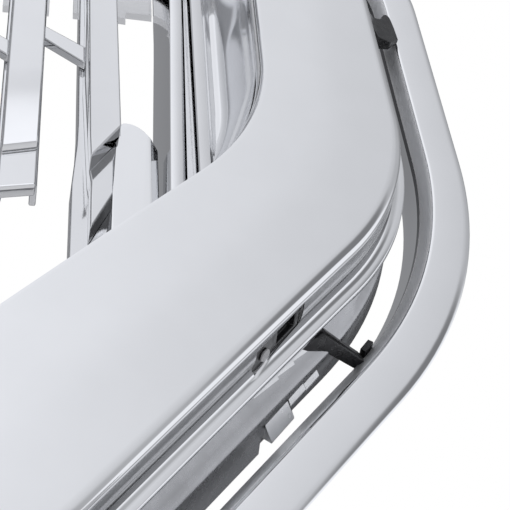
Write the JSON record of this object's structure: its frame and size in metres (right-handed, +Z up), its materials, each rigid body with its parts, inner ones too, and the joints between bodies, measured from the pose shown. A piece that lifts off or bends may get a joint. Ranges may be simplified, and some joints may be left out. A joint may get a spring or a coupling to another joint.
{
  "type": "front grille",
  "caption": "Chromed front grille with a wide smooth surround, slanted lower corners, hanging vertical bars and a set-off outer trim ring on black clips",
  "frame": {"origin": "centre of the overall box of the grille, on its plane of symmetry", "axes": "+X to the viewer's right along the bars' row, +Y rearwards into the vehicle, +Z up along the bars; the face looks towards -Y"},
  "size_m": [0.7564, 0.108, 0.549],
  "materials": {
    "chrome_plating": "bright chrome plating on moulded plastic",
    "carrier_plastic": "fine-grained moulded plastic",
    "clip_plastic": "smooth satin moulded plastic",
    "bracket_steel": "zinc-plated sheet",
    "fastener_steel": "zinc-plated"
  },
  "bodies": {
    "root": {"main_surround": "chrome_plating", "surround_carrier": "chrome_plating", "outer_trim": "chrome_plating", "side_panel_left": "chrome_plating", "side_panel_right": "chrome_plating", "panel_tongue_left": "chrome_plating", "panel_tongue_right": "chrome_plating", "bar_01": "chrome_plating", "bar_02": "chrome_plating", "bar_03": "chrome_plating", "bar_04": "chrome_plating", "bar_05": "chrome_plating", "bar_06": "chrome_plating", "bar_07": "chrome_plating", "bar_08": "chrome_plating", "bar_09": "chrome_plating", "bar_10": "chrome_plating", "bar_11": "chrome_plating", "bar_12": "chrome_plating", "bar_13": "chrome_plating", "bar_links": "chrome_plating", "bar_tie_rail": "chrome_plating", "top_support_rail": "carrier_plastic", "bar_screws": "fastener_steel", "carrier_screws": "fastener_steel", "trim_clips_side": "clip_plastic", "trim_clips_slanted": "clip_plastic", "trim_clips_bottom": "clip_plastic", "trim_clips_top": "clip_plastic", "clip_bodies": "clip_plastic", "clip_rivets": "fastener_steel", "upper_bracket_left": "bracket_steel", "upper_bracket_right": "bracket_steel", "bracket_rivets": "fastener_steel", "side_tab_left": "carrier_plastic", "side_tab_right": "carrier_plastic", "lower_peg_left": "carrier_plastic", "lower_peg_right": "carrier_plastic"}
  },
  "joints": []
}
